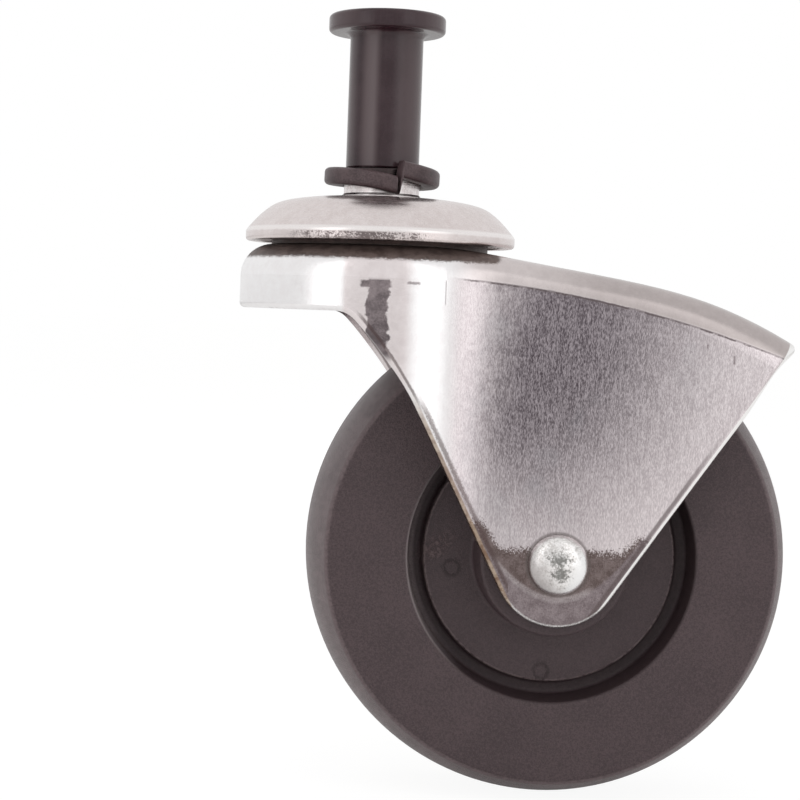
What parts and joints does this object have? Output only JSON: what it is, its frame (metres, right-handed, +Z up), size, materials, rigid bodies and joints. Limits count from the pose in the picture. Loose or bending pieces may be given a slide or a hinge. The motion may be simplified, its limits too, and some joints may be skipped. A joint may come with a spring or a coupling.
{
  "type": "swivel castor",
  "caption": "Swivel castor with a pressed hooded fork, one moulded wheel and a sleeved stem that pushes into a tubular leg.",
  "frame": {"origin": "on the swivel axis, half way up the flange of the plastic sleeve, which centres the castor in the leg", "axes": "+Z up along the swivel axis; the wheel trails towards +X and its axle lies along Y, with the rivet's domed head on -Y"},
  "size_m": [0.0729, 0.0366, 0.1016],
  "materials": {
    "plated_steel": "bright plated pressed steel with faint brushing",
    "stem_steel": "bright turned steel",
    "rivet_steel": "bright steel, rubbed",
    "dark_steel": "hardened steel, dark and oily",
    "ball_steel": "polished bearing balls",
    "sleeve_plastic": "black moulded plastic, satin gloss",
    "wheel_plastic": "black moulded plastic, satin"
  },
  "bodies": {
    "mounting": {"stem": "stem_steel", "sleeve": "sleeve_plastic", "split_ring": "sleeve_plastic", "cap": "plated_steel", "lower_race": "dark_steel"},
    "swivel_fork": {"fork": "plated_steel", "upper_race": "dark_steel", "axle_rivet": "rivet_steel", "axle_tube": "stem_steel", "hub_washer_near": "stem_steel", "hub_washer_far": "stem_steel"},
    "road_wheel": {"wheel": "wheel_plastic"},
    "upper_ball_set": {"upper_ball_01": "ball_steel", "upper_ball_02": "ball_steel", "upper_ball_03": "ball_steel", "upper_ball_04": "ball_steel", "upper_ball_05": "ball_steel", "upper_ball_06": "ball_steel", "upper_ball_07": "ball_steel", "upper_ball_08": "ball_steel", "upper_ball_09": "ball_steel", "upper_ball_10": "ball_steel", "upper_ball_11": "ball_steel", "upper_ball_12": "ball_steel", "upper_ball_13": "ball_steel", "upper_ball_14": "ball_steel", "upper_ball_15": "ball_steel", "upper_ball_16": "ball_steel", "upper_ball_17": "ball_steel"},
    "lower_ball_set": {"lower_ball_01": "ball_steel", "lower_ball_02": "ball_steel", "lower_ball_03": "ball_steel", "lower_ball_04": "ball_steel", "lower_ball_05": "ball_steel", "lower_ball_06": "ball_steel", "lower_ball_07": "ball_steel", "lower_ball_08": "ball_steel", "lower_ball_09": "ball_steel", "lower_ball_10": "ball_steel", "lower_ball_11": "ball_steel", "lower_ball_12": "ball_steel", "lower_ball_13": "ball_steel"}
  },
  "joints": [
    {"name": "swivel", "type": "hinge", "parent": "mounting", "child": "swivel_fork", "pos_m": [0, 0, -0.0295], "axis": [0, 0, 1], "continuous": true},
    {"name": "wheel_spin", "type": "hinge", "parent": "swivel_fork", "child": "road_wheel", "pos_m": [0.02315, 0, -0.0689], "axis": [0, 1, 0], "continuous": true},
    {"name": "upper_balls_roll", "type": "hinge", "parent": "mounting", "child": "upper_ball_set", "pos_m": [0, 0, -0.02695], "axis": [0, 0, 1], "continuous": true},
    {"name": "lower_balls_roll", "type": "hinge", "parent": "mounting", "child": "lower_ball_set", "pos_m": [0, 0, -0.0326], "axis": [0, 0, 1], "continuous": true}
  ],
  "couplings": [
    {"joint": "upper_balls_roll", "follows": "swivel", "ratio": 0.5},
    {"joint": "lower_balls_roll", "follows": "swivel", "ratio": 0.5}
  ]
}
